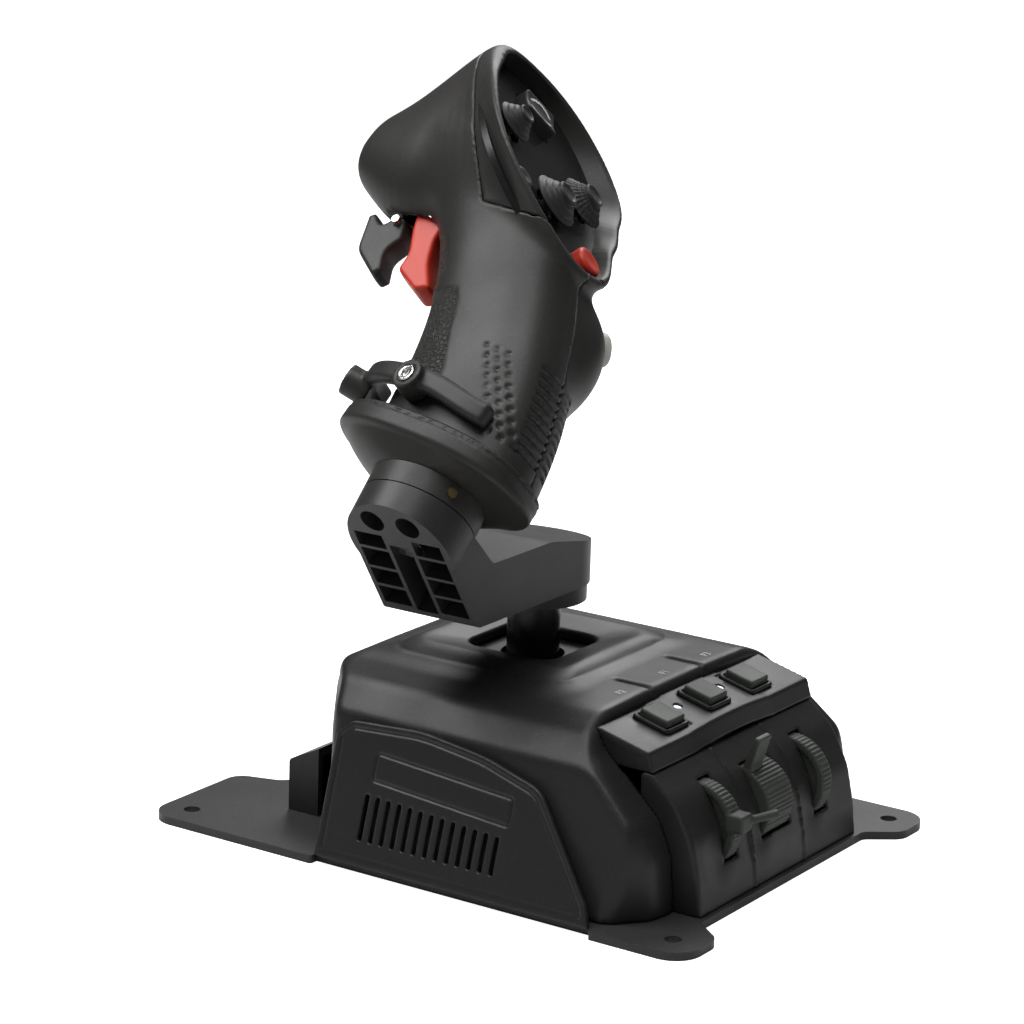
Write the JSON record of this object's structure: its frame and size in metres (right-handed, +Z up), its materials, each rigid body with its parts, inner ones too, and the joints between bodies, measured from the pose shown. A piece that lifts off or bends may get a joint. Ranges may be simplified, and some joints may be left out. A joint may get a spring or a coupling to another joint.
{
  "type": "flight joystick",
  "caption": "Desk flight joystick: steel base with gimbal, thumb wheels and function buttons, a tilted adapter arm and a left-hand grip with triggers, hats and hand rest.",
  "frame": {"origin": "underside of the base plate, on the stick's own axis", "axes": "+X to the user's right, +Y away from the user, +Z up"},
  "size_m": [0.1817, 0.2245, 0.2721],
  "materials": {
    "plate_steel": "satin powder coat",
    "housing_plastic": "fine moulded texture",
    "bezel_rubber": "satin",
    "lamp_lens": "clear, gloss",
    "control_grey": "fine moulded texture",
    "cast_zinc": "cast",
    "machined_steel": "ground",
    "screw_steel": "plated",
    "inner_plastic": "moulded",
    "board": "solder mask",
    "socket_metal": "plated",
    "arm_plastic": "fine moulded texture",
    "shaft_coated": "satin",
    "grip_plastic": "fine moulded texture",
    "face_plastic": "satin to gloss",
    "cap_plastic": "ribbed",
    "brass": "turned",
    "red_plastic": "satin",
    "light_button": "satin"
  },
  "bodies": {
    "base": {"base_plate": "plate_steel", "base_upper_shell": "housing_plastic", "left_side_panel": "housing_plastic", "right_side_panel": "housing_plastic", "front_wheel_panel": "housing_plastic", "button_strip": "housing_plastic", "button_bezels": "bezel_rubber", "lamp_lenses": "lamp_lens", "rear_connector_box": "housing_plastic", "usb_socket": "socket_metal", "gimbal_frame": "cast_zinc", "frame_bearings": "machined_steel", "centring_springs": "machined_steel", "spring_follower": "inner_plastic", "main_board": "board", "base_screws": "screw_steel", "wheel_bracket": "housing_plastic", "wheel_axle": "machined_steel"},
    "dust_lower": {"dust_slide_lower": "housing_plastic"},
    "dust_upper": {"dust_slide_upper": "housing_plastic"},
    "function_1": {"function_button_1": "control_grey"},
    "function_2": {"function_button_2": "control_grey"},
    "function_3": {"function_button_3": "control_grey"},
    "lever_wheel": {"lever_wheel": "control_grey"},
    "paddle_wheel": {"paddle_wheel": "control_grey"},
    "encoder_wheel": {"encoder_wheel": "control_grey"},
    "yoke": {"gimbal_yoke": "cast_zinc", "yoke_bearings": "machined_steel"},
    "stick": {"stick_hub": "cast_zinc", "stick_shaft": "shaft_coated", "adapter_arm": "arm_plastic", "adapter_clamp_ring": "housing_plastic", "twist_post": "machined_steel"},
    "grip": {"grip_collar": "grip_plastic", "brass_set_screws": "brass", "grip_flange": "grip_plastic", "grip_left_shell": "grip_plastic", "grip_right_shell": "grip_plastic", "shoulder_band": "grip_plastic", "head_shell": "grip_plastic", "head_hood": "grip_plastic", "face_panel": "face_plastic", "grip_board": "board", "grip_screws": "screw_steel", "trigger_pins": "machined_steel"},
    "hand_rest": {"hand_rest": "grip_plastic", "hand_rest_screws": "screw_steel"},
    "trigger": {"trigger": "red_plastic"},
    "flip_trigger": {"flip_trigger": "face_plastic"},
    "nose_button": {"nose_button": "light_button"},
    "thumb_button": {"thumb_button": "light_button"},
    "recess_button": {"recess_button": "face_plastic"},
    "red_button": {"red_button": "red_plastic"},
    "rocker_switch": {"rocker_switch": "face_plastic"},
    "upper_hat_ring": {"upper_hat_ring": "inner_plastic"},
    "upper_hat": {"upper_hat_cap": "face_plastic"},
    "lower_hat_ring": {"lower_hat_ring": "inner_plastic"},
    "lower_hat": {"lower_hat_cap": "cap_plastic"},
    "mini_stick_ring": {"mini_stick_ring": "inner_plastic"},
    "mini_stick": {"mini_stick_cap": "cap_plastic"}
  },
  "joints": [
    {"name": "stick_pitch", "type": "hinge", "parent": "base", "child": "yoke", "pos_m": [0, 0, 0.038], "axis": [1, 0, 0], "range_deg": [-13, 13], "stiffness_Nm_per_rad": 25},
    {"name": "stick_roll", "type": "hinge", "parent": "yoke", "child": "stick", "pos_m": [0, 0, 0.038], "axis": [0, 1, 0], "range_deg": [-13, 13], "stiffness_Nm_per_rad": 25},
    {"name": "dust_slide_across", "type": "slide", "parent": "base", "child": "dust_lower", "axis": [1, 0, 0], "range_m": [-0.0056, 0.0056]},
    {"name": "dust_slide_fore", "type": "slide", "parent": "dust_lower", "child": "dust_upper", "axis": [0, 1, 0], "range_m": [-0.0056, 0.0056]},
    {"name": "grip_twist", "type": "hinge", "parent": "stick", "child": "grip", "pos_m": [-0.0736, 0, 0.1285], "axis": [0.7071, 0, 0.7071], "range_deg": [-15, 15], "stiffness_Nm_per_rad": 4},
    {"name": "hand_rest_height", "type": "slide", "parent": "grip", "child": "hand_rest", "axis": [0.6984, -0.1564, 0.6984], "range_m": [0, 0.008]},
    {"name": "trigger_pull", "type": "hinge", "parent": "grip", "child": "trigger", "pos_m": [0.00701, 0.049, 0.20911], "axis": [-0.7071, 0, 0.7071], "range_deg": [0, 8], "stiffness_Nm_per_rad": 1},
    {"name": "flip_trigger_pull", "type": "hinge", "parent": "grip", "child": "flip_trigger", "pos_m": [0.00453, 0.064, 0.20664], "axis": [-0.7071, 0, 0.7071], "range_deg": [0, 6], "stiffness_Nm_per_rad": 1},
    {"name": "nose_button_press", "type": "slide", "parent": "grip", "child": "nose_button", "axis": [-0.157, -0.975, -0.157], "range_m": [0, 0.0015], "stiffness_N_per_m": 400},
    {"name": "thumb_button_press", "type": "slide", "parent": "grip", "child": "thumb_button", "axis": [-0.7481, 0.6549, 0.1069], "range_m": [0, 0.0015], "stiffness_N_per_m": 400},
    {"name": "recess_button_press", "type": "slide", "parent": "grip", "child": "recess_button", "axis": [-0.2599, 0.7793, -0.5702], "range_m": [0, 0.001], "stiffness_N_per_m": 400},
    {"name": "red_button_press", "type": "slide", "parent": "grip", "child": "red_button", "axis": [-0.2599, 0.7793, -0.5702], "range_m": [0, 0.0012], "stiffness_N_per_m": 400},
    {"name": "rocker_tilt", "type": "hinge", "parent": "grip", "child": "rocker_switch", "pos_m": [0.04518, 0.04109, 0.24329], "axis": [0.6807, -0.271, -0.6807], "range_deg": [-6, 6], "stiffness_Nm_per_rad": 0.5},
    {"name": "upper_hat_tilt_up", "type": "hinge", "parent": "grip", "child": "upper_hat_ring", "pos_m": [0.0166, 0.0321, 0.24473], "axis": [0.6807, -0.271, -0.6807], "range_deg": [-8, 8], "stiffness_Nm_per_rad": 0.5},
    {"name": "upper_hat_tilt_across", "type": "hinge", "parent": "upper_hat_ring", "child": "upper_hat", "pos_m": [0.0166, 0.0321, 0.24473], "axis": [0.6849, 0.565, 0.46], "range_deg": [-8, 8], "stiffness_Nm_per_rad": 0.5},
    {"name": "lower_hat_tilt_up", "type": "hinge", "parent": "grip", "child": "lower_hat_ring", "pos_m": [0.01479, 0.01271, 0.21906], "axis": [0.6807, -0.271, -0.6807], "range_deg": [-8, 8], "stiffness_Nm_per_rad": 0.5},
    {"name": "lower_hat_tilt_across", "type": "hinge", "parent": "lower_hat_ring", "child": "lower_hat", "pos_m": [0.01479, 0.01271, 0.21906], "axis": [0.6849, 0.565, 0.46], "range_deg": [-8, 8], "stiffness_Nm_per_rad": 0.5},
    {"name": "mini_stick_tilt_up", "type": "hinge", "parent": "grip", "child": "mini_stick_ring", "pos_m": [0.04005, 0.01774, 0.21441], "axis": [0.6807, -0.271, -0.6807], "range_deg": [-8, 8], "stiffness_Nm_per_rad": 0.5},
    {"name": "mini_stick_tilt_across", "type": "hinge", "parent": "mini_stick_ring", "child": "mini_stick", "pos_m": [0.04005, 0.01774, 0.21441], "axis": [0.6849, 0.565, 0.46], "range_deg": [-8, 8], "stiffness_Nm_per_rad": 0.5},
    {"name": "function_1_press", "type": "slide", "parent": "base", "child": "function_1", "axis": [0, 0.2419, -0.9703], "range_m": [0, 0.0012], "stiffness_N_per_m": 400},
    {"name": "function_2_press", "type": "slide", "parent": "base", "child": "function_2", "axis": [0, 0.2419, -0.9703], "range_m": [0, 0.0012], "stiffness_N_per_m": 400},
    {"name": "function_3_press", "type": "slide", "parent": "base", "child": "function_3", "axis": [0, 0.2419, -0.9703], "range_m": [0, 0.0012], "stiffness_N_per_m": 400},
    {"name": "lever_wheel_turn", "type": "hinge", "parent": "base", "child": "lever_wheel", "pos_m": [-0.031, -0.0898, 0.0273], "axis": [1, 0, 0], "range_deg": [-20, 20], "stiffness_Nm_per_rad": 0.3},
    {"name": "paddle_wheel_turn", "type": "hinge", "parent": "base", "child": "paddle_wheel", "pos_m": [0, -0.0898, 0.0273], "axis": [1, 0, 0], "range_deg": [-2, 50]},
    {"name": "encoder_wheel_turn", "type": "hinge", "parent": "base", "child": "encoder_wheel", "pos_m": [0.031, -0.0898, 0.0273], "axis": [1, 0, 0], "continuous": true}
  ],
  "couplings": [
    {"joint": "dust_slide_across", "follows": "stick_roll", "m_per_rad": 0.0238},
    {"joint": "dust_slide_fore", "follows": "stick_pitch", "m_per_rad": -0.0238}
  ]
}
